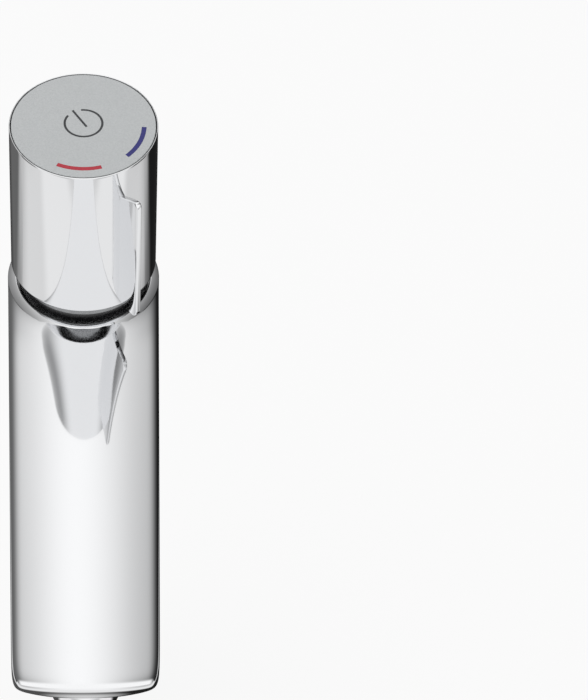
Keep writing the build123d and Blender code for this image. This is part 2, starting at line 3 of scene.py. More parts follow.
import bpy
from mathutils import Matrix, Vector


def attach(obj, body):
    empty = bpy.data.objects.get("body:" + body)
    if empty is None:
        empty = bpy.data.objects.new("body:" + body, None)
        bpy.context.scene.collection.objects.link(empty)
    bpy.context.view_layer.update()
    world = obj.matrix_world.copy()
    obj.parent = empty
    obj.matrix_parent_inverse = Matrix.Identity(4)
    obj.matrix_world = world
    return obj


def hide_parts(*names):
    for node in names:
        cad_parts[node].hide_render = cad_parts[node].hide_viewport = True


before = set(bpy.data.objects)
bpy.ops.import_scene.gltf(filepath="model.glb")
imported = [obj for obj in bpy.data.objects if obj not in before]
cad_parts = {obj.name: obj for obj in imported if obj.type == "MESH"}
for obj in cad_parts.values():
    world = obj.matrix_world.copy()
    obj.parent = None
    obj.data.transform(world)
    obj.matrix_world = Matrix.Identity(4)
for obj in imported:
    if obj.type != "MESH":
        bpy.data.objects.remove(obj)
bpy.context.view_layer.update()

# The column of the tap: the upright half of one brass casting, bored out from
# both ends and polished before it is chromed. Its hollow foot takes the hoses
# and the stud, and its top takes the cartridge and the neck.


def clear_selection():
    """Nothing stays selected, so an operator acts on the new piece alone."""
    if bpy.context.object and bpy.context.object.mode == "EDIT":
        bpy.ops.object.mode_set(mode="OBJECT")
    bpy.ops.object.select_all(action="DESELECT")


def turned_piece(name, outline, steps, centre=(0, 0, 0)):
    """Turns a closed outline of (radius, height) points, in mm, as on a lathe."""
    clear_selection()
    first = outline[0]
    start = (centre[0] + first[0] / 1000, centre[1], first[1] / 1000)
    bpy.ops.mesh.primitive_plane_add(size=0.001, location=start)
    piece = bpy.context.object
    piece.name = piece.data.name = name
    bpy.ops.object.transform_apply(location=True, rotation=False, scale=False)
    bpy.ops.object.mode_set(mode="EDIT")
    bpy.ops.mesh.select_mode(type="VERT")
    bpy.ops.mesh.select_all(action="SELECT")
    bpy.ops.mesh.merge(type="CENTER")
    last = first
    closing = [] if first[0] == 0 and outline[-1][0] == 0 else [first]
    for point in list(outline[1:]) + closing:
        step = ((point[0] - last[0]) / 1000, 0, (point[1] - last[1]) / 1000)
        bpy.ops.mesh.extrude_vertices_move(TRANSFORM_OT_translate={"value": step})
        last = point
    bpy.ops.mesh.select_all(action="SELECT")
    bpy.ops.mesh.remove_doubles(threshold=1e-7)
    bpy.ops.mesh.select_all(action="SELECT")
    bpy.ops.mesh.spin(steps=steps, angle=math.tau, center=centre, axis=(0, 0, 1))
    bpy.ops.mesh.select_all(action="SELECT")
    bpy.ops.mesh.remove_doubles(threshold=1e-6)
    bpy.ops.mesh.normals_make_consistent(inside=False)
    bpy.ops.object.mode_set(mode="OBJECT")
    return piece


def soften_edges(piece, width, segments=3, angle=25):
    """Breaks the sharp edges with a small round, as polishing does."""
    round_off = piece.modifiers.new("broken edges", "BEVEL")
    round_off.width = width / 1000
    round_off.segments = segments
    round_off.limit_method = "ANGLE"
    round_off.angle_limit = math.radians(angle)
    round_off.harden_normals = False
    bpy.context.view_layer.objects.active = piece
    bpy.ops.object.modifier_apply(modifier=round_off.name)


def smooth(piece, angle=30):
    """Curved faces shade smoothly and crisp edges stay crisp."""
    clear_selection()
    piece.select_set(True)
    bpy.context.view_layer.objects.active = piece
    bpy.ops.object.shade_smooth_by_angle(angle=math.radians(angle))
    clear_selection()


def new_finish(name):
    """A material with its shader and the object's own coordinates at hand."""
    finish = bpy.data.materials.new(name)
    finish.use_nodes = True
    tree = finish.node_tree
    shader = tree.nodes["Principled BSDF"]
    place = tree.nodes.new("ShaderNodeTexCoord")
    return finish, tree, shader, place


def grain(tree, place, scale, detail=3.0, rough=0.5):
    """Fine noise in the object's own space; scale is per metre."""
    noise = tree.nodes.new("ShaderNodeTexNoise")
    noise.inputs["Scale"].default_value = scale
    noise.inputs["Detail"].default_value = detail
    noise.inputs["Roughness"].default_value = rough
    tree.links.new(place.outputs["Object"], noise.inputs["Vector"])
    return noise


def spread(tree, source, low, high, start=0.3, end=0.7):
    """Maps a noise to a range of values."""
    ramp = tree.nodes.new("ShaderNodeMapRange")
    ramp.inputs["From Min"].default_value = start
    ramp.inputs["From Max"].default_value = end
    ramp.inputs["To Min"].default_value = low
    ramp.inputs["To Max"].default_value = high
    tree.links.new(source, ramp.inputs["Value"])
    return ramp.outputs["Result"]


def relief(tree, shader, height, strength, depth):
    """Small relief on the surface; depth is in metres."""
    bump = tree.nodes.new("ShaderNodeBump")
    bump.inputs["Strength"].default_value = strength
    bump.inputs["Distance"].default_value = depth
    tree.links.new(height, bump.inputs["Height"])
    tree.links.new(bump.outputs["Normal"], shader.inputs["Normal"])
    return bump


def dress(piece, finish):
    """Gives the whole piece one finish."""
    piece.data.materials.clear()
    piece.data.materials.append(finish)
    for face in piece.data.polygons:
        face.material_index = 0


# Mirror chrome: a hint of haze where fingers touch, and the very slight
# waviness that polishing leaves under the plating.
chrome, tree, shader, place = new_finish("mirror_chrome")
shader.inputs["Metallic"].default_value = 1.0
shader.inputs["Base Color"].default_value = (0.82, 0.825, 0.835, 1)
haze = grain(tree, place, 70, 4)
tree.links.new(spread(tree, haze.outputs["Fac"], 0.035, 0.065), shader.inputs["Roughness"])
wave = grain(tree, place, 28, 1)
relief(tree, shader, wave.outputs["Fac"], 0.08, 0.0004)

round_steps = 256
column_r, column_foot, column_edge = 22.05, 4.5, 0.7
rim_z, rim_fall, rim_edge = 134.6, 0.85, 0.45
rim_inner_r, rim_flat_r, rim_floor = 19.4, 19.8, 132.6
neck_foot_z, neck_bore_r = 127.5, 18.55
cartridge_r, cartridge_floor, cartridge_top, nut_r = 15.4, 80, 119, 17.0
valve_r, valve_floor = 3.6, 70
hollow_r, hollow_top = 18.85, 62
column = turned_piece("column", [
    (0, valve_floor), (valve_r, valve_floor), (valve_r, cartridge_floor), (cartridge_r, cartridge_floor),
    (cartridge_r, cartridge_top), (nut_r, cartridge_top), (nut_r, neck_foot_z), (neck_bore_r, neck_foot_z),
    (neck_bore_r, rim_floor), (rim_inner_r, rim_floor), (rim_inner_r, rim_z), (rim_flat_r, rim_z),
    (column_r, rim_z - rim_fall), (column_r, rim_z - rim_fall - rim_edge),
    (column_r, column_foot + column_edge), (column_r, column_foot), (hollow_r, column_foot),
    (hollow_r, hollow_top), (0, hollow_top)], round_steps)
soften_edges(column, 0.12, 3, 15)
smooth(column)
dress(column, chrome)
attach(column, "tap_body")
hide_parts("body_casting")

# The spout: the other half of the same casting. Its top slopes down towards
# the basin and is slightly crowned, its sides draw in, its end is bowed and
# leans back under, and every long edge is rounded.


def pick(piece, test):
    """Selects the points of a piece that pass a test on their place."""
    bpy.ops.mesh.select_mode(type="VERT")
    bpy.ops.object.mode_set(mode="OBJECT")
    for edge in piece.data.edges:
        edge.select = False
    for face in piece.data.polygons:
        face.select = False
    found = 0
    for point in piece.data.vertices:
        point.select = bool(test(point.co))
        found += point.select
    bpy.ops.object.mode_set(mode="EDIT")
    return found


def shift_points(piece, test, step):
    """Moves the points of a piece that pass a test."""
    if pick(piece, test):
        bpy.ops.transform.translate(value=step)


def near(value, goal):
    return abs(value - goal) < 2e-5


spout_width, spout_length, spout_low, spout_high = 0.0441, 0.1438, 0.1125, 0.13375
middle_z = 0.125
column_radius = column_r / 1000
clear_selection()
bpy.ops.mesh.primitive_cube_add(
    size=1, location=(0, -spout_length / 2, (spout_low + spout_high) / 2),
    scale=(spout_width, spout_length, spout_high - spout_low))
spout = bpy.context.object
spout.name = spout.data.name = "spout"
bpy.ops.object.transform_apply(location=True, rotation=False, scale=True)
spout_rows = (-0.127, -0.112, -0.1, -0.085, -0.07, -0.055, -0.04, -0.0305, -0.027, -0.0235)
spout_lanes = (0.0, 0.0063, 0.0125, 0.01865, column_radius)
bpy.ops.object.mode_set(mode="EDIT")
end_row = -0.138
for row in (end_row,) + spout_rows:
    bpy.ops.mesh.select_all(action="SELECT")
    bpy.ops.mesh.bisect(plane_co=(0, row, 0), plane_no=(0, 1, 0))
for lane in [-lane for lane in reversed(spout_lanes[1:-1])] + list(spout_lanes[:-1]):
    bpy.ops.mesh.select_all(action="SELECT")
    bpy.ops.mesh.bisect(plane_co=(lane, 0, 0), plane_no=(1, 0, 0))
spout_levels = (0.116, 0.13035)
for level in spout_levels:
    bpy.ops.mesh.select_all(action="SELECT")
    bpy.ops.mesh.bisect(plane_co=(0, 0, level), plane_no=(0, 0, 1))

# Its end inside the column follows the column's round wall
spout_root = (-0.0206, -0.0196, -0.0164, -0.00875, 0.0006)
for lane, back in zip(spout_lanes, spout_root):
    shift_points(spout, lambda co: near(abs(co.x), lane) and near(co.y, 0), (0, back, 0))
# Crown across the top and bow across the end
crown_r, bow_r, end_share = 0.098, 0.07, 0.92
for lane in spout_lanes[1:]:
    drop = crown_r - math.sqrt(crown_r ** 2 - lane ** 2)
    bow = bow_r - math.sqrt(bow_r ** 2 - (lane * end_share) ** 2)
    shift_points(spout, lambda co: near(abs(co.x), lane) and co.z > middle_z, (0, 0, -drop))
    shift_points(spout, lambda co: near(abs(co.x), lane) and co.y < -0.137, (0, bow, 0))
# The end leans back under, and its levels crowd together where it is thin
for low, high, second, back, down in (
        (0.112, 0.113, 0.0013, 0.005, 0.0), (0.115, 0.117, 0.0014, 0.0041, -0.0017),
        (0.1275, 0.1304, 0.0012, 0.00254, -0.00148)):
    shift_points(spout, lambda co: -0.1396 < co.y < -0.1345 and low < co.z < high, (0, second, 0))
    shift_points(spout, lambda co: co.y < -0.1405 and low < co.z < high, (0, back, down))
# Slope of the top, then the long arc of the underside
top_slope = math.tan(math.radians(5))
belly_r, belly_start = 0.3435, 0.112
pick(spout, lambda co: co.z > middle_z)
bpy.ops.object.mode_set(mode="OBJECT")
top_rows = sorted({round(point.co.y, 6) for point in spout.data.vertices if point.select})
bpy.ops.object.mode_set(mode="EDIT")
for row in top_rows:
    fall = top_slope * (-row - column_radius)
    shift_points(spout, lambda co: abs(co.y - row) < 6e-7 and co.z > middle_z, (0, 0, -fall))
for row in spout_rows[2:] + spout_root:
    sag = belly_r - math.sqrt(belly_r ** 2 - (row + belly_start) ** 2)
    shift_points(spout, lambda co: near(co.y, row) and co.z < 0.117, (0, 0, -sag))
# The draw-in of the sides, and the upright corners of the end eased inwards
draw_in = 0.01257
for row in spout_rows:
    narrow = 1 - draw_in * -row / column_radius
    if pick(spout, lambda co: near(co.y, row)):
        bpy.ops.transform.resize(value=(narrow, 1, 1), center_override=(0, 0, 0))
end_narrow = 0.9195
if pick(spout, lambda co: co.y < -0.1325):
    bpy.ops.transform.resize(value=(end_narrow, 1, 1), center_override=(0, 0, 0))
# The rows next to the column run round it, and the top lifts to its rim
for radius in (0.0235, 0.027, 0.0305, 0.04):
    narrow = 1 - draw_in * radius / column_radius
    for lane in spout_lanes[1:]:
        across = lane * narrow
        round_column = radius - math.sqrt(radius ** 2 - across ** 2)
        for side in (-1, 1):
            step = (side * across / column_radius * draw_in * round_column, round_column,
                    top_slope * round_column)
            shift_points(
                spout, lambda co: near(co.x, side * across) and near(co.y, -radius) and co.z > middle_z, step)
rim_lifts = (
    (0.0235, (0, 0.0001, 0.00035, 0.0006, 0.0005)), (0.027, (0, 0, 0.0001, 0.00025, 0.0002)),
    (0.0206, (0.0004, 0.00055, 0.0009, 0.0012, 0.0005)))
reach = 0.0003
for radius, lifts in rim_lifts:
    for lane, lift in zip(spout_lanes, lifts):
        across = lane if radius < column_radius else lane * (1 - draw_in * radius / column_radius)
        shift_points(
            spout, lambda co: abs(abs(co.x) - across) < reach and co.z > middle_z
            and abs(math.hypot(co.x, co.y) - max(radius, across)) < reach, (0, 0, lift))
# The end's upright corners are eased further
for side in (-1, 1):
    shift_points(spout, lambda co: co.y < -0.1352 and co.x * side > 0.0199, (-0.00104 * side, 0.00078, 0))
shift_points(spout, lambda co: co.y < -0.1362 and near(abs(co.x), 0.01715), (0, 0.00025, 0))
bpy.ops.mesh.select_all(action="SELECT")
bpy.ops.mesh.normals_make_consistent(inside=False)
if pick(spout, lambda co: co.y > -0.0207 and math.hypot(co.x, co.y) < 0.0222):
    bpy.ops.transform.edge_crease(value=1)
bpy.ops.object.mode_set(mode="OBJECT")
refine = spout.modifiers.new("polished skin", "SUBSURF")
refine.levels = refine.render_levels = 3
bpy.context.view_layer.objects.active = spout
bpy.ops.object.modifier_apply(modifier=refine.name)

# The hole for the aerator, bored up into the spout's water way
aerator_y, bore_r, bore_depth, bore_middle = -0.128, 0.00835, 0.008, 0.115
clear_selection()
bpy.ops.mesh.primitive_cylinder_add(
    vertices=128, radius=bore_r, depth=bore_depth, location=(0, aerator_y, bore_middle))
drill = bpy.context.object
bpy.ops.object.transform_apply(location=True, rotation=False, scale=False)
bore = spout.modifiers.new("aerator hole", "BOOLEAN")
bore.object = drill
bore.operation = "DIFFERENCE"
bore.solver = "EXACT"
clear_selection()
bpy.context.view_layer.objects.active = spout
bpy.ops.object.modifier_apply(modifier=bore.name)
bpy.data.objects.remove(drill)
smooth(spout, 50)
dress(spout, chrome)
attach(spout, "tap_body")
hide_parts("body_casting")

# The knob's tube: thin-walled brass, turned, polished and chromed. The button
# drops into its open top.

knob_r, knob_wall, knob_low, knob_top = 21.0, 1.6, 141.6, 196.0
lip_r, lip_height, knob_edge = 18.8, 1.0, 0.6
button_seat_r, button_seat_z = 20.7, 190.0
knob_tube = turned_piece("knob_tube", [
    (lip_r, knob_low), (knob_r, knob_low), (knob_r, knob_low + knob_edge), (knob_r, knob_top - knob_edge),
    (knob_r, knob_top), (button_seat_r, knob_top), (button_seat_r, button_seat_z),
    (knob_r - knob_wall, button_seat_z), (knob_r - knob_wall, knob_low + lip_height),
    (lip_r, knob_low + lip_height)], round_steps)
soften_edges(knob_tube, 0.14, 3)
smooth(knob_tube)
dress(knob_tube, chrome)
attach(knob_tube, "knob")
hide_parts("knob_sleeve")

# The neck: a short tube with a collar and a fine bead round its middle, coloured black below
# the bead and metallic grey from just under it up, so that it shows as the dark gap under the knob.

neck_r, neck_inner_r, neck_top, neck_roof, stem_r = 18.5, 16.0, 148.0, 146.0, 5.6
bead_r, bead_z, bead_half, bead_flat = 18.75, 139.4, 0.4, 0.2
neck = turned_piece("neck", [
    (neck_inner_r, neck_foot_z), (neck_r, neck_foot_z), (neck_r, bead_z - bead_half),
    (bead_r, bead_z - bead_flat), (bead_r, bead_z + bead_flat), (neck_r, bead_z + bead_half),
    (neck_r, neck_top - 0.5), (neck_r - 0.5, neck_top), (stem_r, neck_top), (stem_r, neck_roof),
    (neck_inner_r, neck_roof)], round_steps)
soften_edges(neck, 0.1, 2)
smooth(neck)


def shaded(colour, share):
    """The same colour, lighter or darker."""
    return (colour[0] * share, colour[1] * share, colour[2] * share, 1)


def two_tones(tree, shader, source, first, second):
    """Blends the base colour from one tone to another along a source."""
    tint = tree.nodes.new("ShaderNodeMix")
    tint.data_type = "RGBA"
    tint.inputs["A"].default_value = first
    tint.inputs["B"].default_value = second
    tree.links.new(source, tint.inputs["Factor"])
    tree.links.new(tint.outputs["Result"], shader.inputs["Base Color"])


def moulded(name, colour, roughness, bump=0.15):
    """Moulded or printed plastic with a fine, uneven skin."""
    finish, tree, shader, place = new_finish(name)
    fine = grain(tree, place, 1800, 3)
    two_tones(tree, shader, spread(tree, fine.outputs["Fac"], 0, 1), shaded(colour, 0.88), shaded(colour, 1.12))
    patch = grain(tree, place, 220, 2)
    tree.links.new(
        spread(tree, patch.outputs["Fac"], roughness - 0.05, roughness + 0.05), shader.inputs["Roughness"])
    relief(tree, shader, fine.outputs["Fac"], bump, 0.00003)
    return finish


black, shade_grey, grey_from, grey_to = (0.008, 0.008, 0.009), (0.32, 0.325, 0.33), 0.1374, 0.1376
black_plastic = moulded("black_plastic", black, 0.3)
neck_finish, tree, shader, place = new_finish("black_and_grey_neck")
split = tree.nodes.new("ShaderNodeSeparateXYZ")
tree.links.new(place.outputs["Object"], split.inputs["Vector"])
upper = spread(tree, split.outputs["Z"], 0.0, 1.0, grey_from, grey_to)
tree.links.new(upper, shader.inputs["Metallic"])
two_tones(tree, shader, upper, shaded(black, 1), shaded(shade_grey, 1))
lathe = grain(tree, place, 900, 3)
tree.links.new(spread(tree, lathe.outputs["Fac"], 0.2, 0.32), shader.inputs["Roughness"])
relief(tree, shader, lathe.outputs["Fac"], 0.1, 0.00003)
dress(neck, neck_finish)
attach(neck, "tap_body")
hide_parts("bonnet")

# The fin: a thin chromed plate that stands out from the knob's side and is
# pushed with one finger. Two tabs hold it from inside.

fin_turn = math.radians(31)
fin_outer, fin_inner, fin_low, fin_outer_top, fin_inner_top = -0.0301, -0.0205, 0.1436, 0.191187, 0.185715
fin_thickness, fin_low_round, fin_top_round = 0.0016, 0.003, 0.0026
clear_selection()
bpy.ops.mesh.primitive_plane_add(size=1, location=(0, 0, 0), rotation=(0, math.radians(90), 0))
fin = bpy.context.object
fin.name = fin.data.name = "fin"
bpy.ops.object.transform_apply(location=True, rotation=True, scale=True)
bpy.ops.object.mode_set(mode="EDIT")
fin_corners = ((-1, -1, fin_outer, fin_low), (1, -1, fin_inner, fin_low),
               (-1, 1, fin_outer, fin_outer_top), (1, 1, fin_inner, fin_inner_top))
for side_y, side_z, goal_y, goal_z in fin_corners:
    shift_points(
        fin, lambda co: co.y * side_y > 0.4 and co.z * side_z > 0.4 and abs(abs(co.y) - 0.5) < 1e-4,
        (0.0, goal_y - side_y * 0.5, goal_z - side_z * 0.5))
pick(fin, lambda co: co.y < -0.03 and co.z < 0.15)
bpy.ops.mesh.bevel(offset=fin_low_round, segments=10, affect="VERTICES")
pick(fin, lambda co: co.y < -0.03 and co.z > 0.19)
bpy.ops.mesh.bevel(offset=fin_top_round, segments=10, affect="VERTICES")
bpy.ops.mesh.select_all(action="SELECT")
bpy.ops.transform.translate(value=(-fin_thickness / 2, 0, 0))
bpy.ops.mesh.extrude_region_move(TRANSFORM_OT_translate={"value": (fin_thickness, 0, 0)})
bpy.ops.mesh.select_all(action="SELECT")
bpy.ops.mesh.normals_make_consistent(inside=False)
bpy.ops.object.mode_set(mode="OBJECT")
soften_edges(fin, 0.25, 3, 40)
bpy.ops.object.mode_set(mode="EDIT")
bpy.ops.mesh.select_all(action="SELECT")
bpy.ops.transform.rotate(value=-fin_turn, orient_axis="Z", center_override=(0, 0, 0))
bpy.ops.object.mode_set(mode="OBJECT")
smooth(fin, 35)
dress(fin, chrome)
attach(fin, "knob")
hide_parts("fin_lever")

# The button: a satin, silver-grey moulded disc that fills the knob's top, with
# three shallow pockets for the coloured marks.

satin, tree, shader, place = new_finish("satin_silver")
shader.inputs["Metallic"].default_value = 0.15
fleck = grain(tree, place, 2600, 2)
two_tones(tree, shader, spread(tree, fleck.outputs["Fac"], 0, 1), (0.435, 0.45, 0.455, 1), (0.495, 0.51, 0.515, 1))
sheen = grain(tree, place, 120, 3)
tree.links.new(spread(tree, sheen.outputs["Fac"], 0.36, 0.44), shader.inputs["Roughness"])
relief(tree, shader, fleck.outputs["Fac"], 0.12, 0.00003)
dress(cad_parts["button_cap"], satin)

# The marks: an open ring and bar in dark grey, a red arc for hot on one side
# of the fin and a blue arc for cold on the other, each let into the button.
symbol_grey = moulded("symbol_grey", (0.028, 0.03, 0.034), 0.45)
dress(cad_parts["power_ring"], symbol_grey)
dress(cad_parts["power_bar"], symbol_grey)
dress(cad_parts["hot_mark"], moulded("hot_red", (0.42, 0.012, 0.03), 0.4))
dress(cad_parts["cold_mark"], moulded("cold_blue", (0.012, 0.012, 0.16), 0.4))

# The aerator: a chromed ring screwed into the spout's end from below, round a
# plastic jet former and a steel screen.

ring_r, thread_r, ring_bore_r, jet_r = 9.6, 8.25, 7.35, 6.55
ring_low, ring_ledge, ring_shoulder, ring_top = 103.5, 105.0, 112.5, 116.5
aerator_ring = turned_piece("aerator_ring", [
    (jet_r, ring_low), (ring_r, ring_low), (ring_r, ring_shoulder), (thread_r, ring_shoulder),
    (thread_r, ring_top), (ring_bore_r, ring_top), (ring_bore_r, ring_ledge), (jet_r, ring_ledge)],
    round_steps // 2, (0, aerator_y, 0))
soften_edges(aerator_ring, 0.3, 3)
smooth(aerator_ring)
dress(aerator_ring, chrome)
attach(aerator_ring, "tap_body")
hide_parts("aerator_housing")
dress(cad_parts["aerator_insert"], moulded("jet_white", (0.66, 0.66, 0.64), 0.4))

# The base ring: a chromed ring between the column and the basin, over a rubber
# seal that sits in its groove.

foot_r, foot_chamfer, foot_bore_r, foot_low, foot_spigot = 23.0, 0.8, 18.0, 0.4, 7.5
groove_inner_r, groove_outer_r, groove_roof, spigot_r = 18.9, 22.2, 1.8, 18.8
foot_ring = turned_piece("foot_ring", [
    (foot_bore_r, foot_low), (groove_inner_r, foot_low), (groove_inner_r, groove_roof),
    (groove_outer_r, groove_roof), (groove_outer_r, foot_low), (foot_r, foot_low),
    (foot_r, column_foot - foot_chamfer), (foot_r - foot_chamfer, column_foot), (spigot_r, column_foot),
    (spigot_r, foot_spigot), (foot_bore_r, foot_spigot)], round_steps)
soften_edges(foot_ring, 0.1, 2)
smooth(foot_ring)
dress(foot_ring, chrome)
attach(foot_ring, "tap_body")
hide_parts("base_ring")

# Rubber: the foot seal, the horseshoe under the basin and the small moulded rings,
# all of them matt black and pressed into their seats.
rubber = moulded("black_rubber", (0.02, 0.02, 0.021), 0.65, 0.3)
for node in ("base_seal", "clamp_seal", "bonnet_seal", "inlet_seals", "disc_seals", "spindle_seals",
             "valve_seal", "aerator_seal"):
    dress(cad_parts[node], rubber)


def metal(name, colour, roughness, streak):
    """Bare or zinc-plated metal with the marks of the tool across it."""
    finish, tree, shader, place = new_finish(name)
    shader.inputs["Metallic"].default_value = 1.0
    turn = tree.nodes.new("ShaderNodeMapping")
    turn.inputs["Scale"].default_value = streak
    tree.links.new(place.outputs["Object"], turn.inputs["Vector"])
    lines = tree.nodes.new("ShaderNodeTexNoise")
    lines.inputs["Scale"].default_value = 400
    lines.inputs["Detail"].default_value = 4
    tree.links.new(turn.outputs["Vector"], lines.inputs["Vector"])
    two_tones(tree, shader, spread(tree, lines.outputs["Fac"], 0, 1), shaded(colour, 0.9), shaded(colour, 1))
    tree.links.new(
        spread(tree, lines.outputs["Fac"], roughness - 0.06, roughness + 0.08), shader.inputs["Roughness"])
    relief(tree, shader, lines.outputs["Fac"], 0.15, 0.00003)
    return finish


# The clamp under the basin: a zinc-plated horseshoe, a threaded stud and a
# long brass nut.
zinc = metal("zinc_plate", (0.62, 0.63, 0.66), 0.34, (1, 1, 8))
for node in ("clamp_plate", "fixing_stud", "push_rod", "button_spring", "valve_spring", "fin_pins", "aerator_mesh"):
    dress(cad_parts[node], zinc)
brass = metal("machined_brass", (0.78, 0.6, 0.3), 0.28, (1, 1, 10))
for node in ("fixing_nut", "knob_nut", "cartridge_nut", "spindle", "valve_plunger"):
    dress(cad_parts[node], brass)

# The cartridge and the knob's core: moulded plastic and lapped ceramic, all of
# it inside the column and the knob.
for node in ("knob_core", "limit_ring"):
    dress(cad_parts[node], black_plastic)
white_plastic = moulded("natural_plastic", (0.62, 0.61, 0.57), 0.45)
for node in ("cartridge_housing", "cartridge_base", "slip_ring"):
    dress(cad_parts[node], white_plastic)
ceramic = moulded("lapped_ceramic", (0.74, 0.73, 0.69), 0.2, 0.05)
for node in ("ceramic_disc_fixed", "ceramic_disc_rotor"):
    dress(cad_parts[node], ceramic)

# The floor and the light: a plain pale floor below the stud's end, a white
# room and one soft lamp, with a light tent and a screen for the chrome to see.


def math_node(tree, kind, first, second=None, clamp=False):
    """One sum in a tree; either term is a number or another node's output."""
    node = tree.nodes.new("ShaderNodeMath")
    node.operation = kind
    node.use_clamp = clamp
    for slot, term in enumerate((first, second)):
        if term is None:
            continue
        if isinstance(term, (int, float)):
            node.inputs[slot].default_value = term
        else:
            tree.links.new(term, node.inputs[slot])
    return node.outputs["Value"]


def white_glow(tree, kind, outlet, strength):
    """A white emission or background of one strength."""
    glow = tree.nodes.new(kind)
    glow.inputs["Color"].default_value = (1, 1, 1, 1)
    glow.inputs["Strength"].default_value = strength
    return glow.outputs[outlet]


floor_z, floor_r, floor_white, room_light = -0.064, 6, 0.85, 0.8
clear_selection()
bpy.ops.mesh.primitive_circle_add(vertices=96, radius=floor_r, fill_type="NGON", location=(0, 0, floor_z))
floor = bpy.context.object
floor.name = "floor"
floor_finish = bpy.data.materials.new("pale_floor")
floor_finish.use_nodes = True
tree = floor_finish.node_tree
tree.nodes.clear()
output = tree.nodes.new("ShaderNodeOutputMaterial")
matt = tree.nodes.new("ShaderNodeBsdfDiffuse")
matt.inputs["Color"].default_value = (0.8, 0.8, 0.8, 1)
path = tree.nodes.new("ShaderNodeLightPath")
either = math_node(tree, "ADD", path.outputs["Is Camera Ray"], path.outputs["Is Glossy Ray"])
blend = tree.nodes.new("ShaderNodeMixShader")
tree.links.new(math_node(tree, "MULTIPLY", either, floor_white, True), blend.inputs["Fac"])
tree.links.new(matt.outputs["BSDF"], blend.inputs[1])
tree.links.new(white_glow(tree, "ShaderNodeEmission", "Emission", 1.0), blend.inputs[2])
tree.links.new(blend.outputs["Shader"], output.inputs["Surface"])
floor.data.materials.append(floor_finish)

room = bpy.data.worlds.new("white room")
bpy.context.scene.world = room
room.use_nodes = True
tree = room.node_tree
tree.nodes.clear()
output = tree.nodes.new("ShaderNodeOutputWorld")
path = tree.nodes.new("ShaderNodeLightPath")
either = math_node(tree, "ADD", path.outputs["Is Camera Ray"], path.outputs["Is Glossy Ray"], True)
blend = tree.nodes.new("ShaderNodeMixShader")
tree.links.new(math_node(tree, "ADD", either, path.outputs["Is Transmission Ray"], True), blend.inputs["Fac"])
tree.links.new(white_glow(tree, "ShaderNodeBackground", "Background", room_light), blend.inputs[1])
tree.links.new(white_glow(tree, "ShaderNodeBackground", "Background", 1.0), blend.inputs[2])
tree.links.new(blend.outputs["Shader"], output.inputs["Surface"])

lamp_data = bpy.data.lights.new("soft lamp", "AREA")
lamp_data.shape = "DISK"
lamp_data.size = 0.7
lamp_data.energy = 3
lamp = bpy.data.objects.new("soft lamp", lamp_data)
bpy.context.scene.collection.objects.link(lamp)
lamp.location = (-0.35, -0.1, 1.3)
lamp_aim = Vector((0, -0.05, 0.1))
lamp.rotation_euler = (lamp_aim - lamp.location).to_track_quat("-Z", "Y").to_euler()
lamp.visible_glossy = False


def only_in_gloss(piece):
    """A light tent or card that the chrome alone sees."""
    piece.visible_camera = False
    piece.visible_diffuse = False
    piece.visible_shadow = False
    piece.visible_transmission = False


def paper(name):
    """Lit paper whose tone is worked out in the nodes that follow."""
    finish = bpy.data.materials.new(name)
    finish.use_nodes = True
    tree = finish.node_tree
    tree.nodes.clear()
    output = tree.nodes.new("ShaderNodeOutputMaterial")
    glow = tree.nodes.new("ShaderNodeEmission")
    tree.links.new(glow.outputs["Emission"], output.inputs["Surface"])
    place = tree.nodes.new("ShaderNodeTexCoord")
    split = tree.nodes.new("ShaderNodeSeparateXYZ")
    tree.links.new(place.outputs["Object"], split.inputs["Vector"])
    return finish, tree, glow, split


def eased(tree, source, start, end, low, high):
    """A smooth rise or fall between two places."""
    ramp = tree.nodes.new("ShaderNodeMapRange")
    ramp.interpolation_type = "SMOOTHSTEP"
    ramp.inputs["From Min"].default_value = start
    ramp.inputs["From Max"].default_value = end
    ramp.inputs["To Min"].default_value = low
    ramp.inputs["To Max"].default_value = high
    tree.links.new(source, ramp.inputs["Value"])
    return ramp.outputs["Result"]


# The light tent: grey at its foot, darker to the right, with a long bright
# strip overhead that runs from front to back.
clear_selection()
tent_r = 2.0
bpy.ops.mesh.primitive_uv_sphere_add(segments=96, ring_count=48, radius=tent_r, location=(0, 0, 0))
tent = bpy.context.object
tent.name = "light_tent"
smooth(tent, 180)
finish, tree, glow, split = paper("tent_paper")
across = math_node(tree, "DIVIDE", split.outputs["X"], tent_r)
height = math_node(tree, "DIVIDE", split.outputs["Z"], tent_r)
deep = math_node(tree, "DIVIDE", split.outputs["Y"], tent_r)
foot = eased(tree, across, -0.5, 0.5, 0.15, 0.03)
strip_shift, strip_right, strip_left = 0.03, 0.45, -0.4
aside = math_node(tree, "ADD", across, strip_shift)
bell = math_node(
    tree, "MAXIMUM", math_node(tree, "DIVIDE", aside, strip_right), math_node(tree, "DIVIDE", aside, strip_left))
bell = math_node(tree, "POWER", bell, 2.0)
strip = math_node(tree, "EXPONENT", math_node(tree, "MULTIPLY", bell, -1.0))
strip = math_node(tree, "MULTIPLY", strip, eased(tree, height, 0.1, 0.65, 0.0, 1.05))
back = math_node(tree, "ADD", strip, foot)
sides = eased(tree, math_node(tree, "ABSOLUTE", across), 0.7, 0.98, 1.12, 0.3)
turn = eased(tree, deep, -0.35, 0.1, 0.0, 1.0)
whole = tree.nodes.new("ShaderNodeMix")
tree.links.new(turn, whole.inputs["Factor"])
tree.links.new(sides, whole.inputs["A"])
tree.links.new(back, whole.inputs["B"])
tree.links.new(whole.outputs["Result"], glow.inputs["Strength"])
tent.data.materials.append(finish)
only_in_gloss(tent)


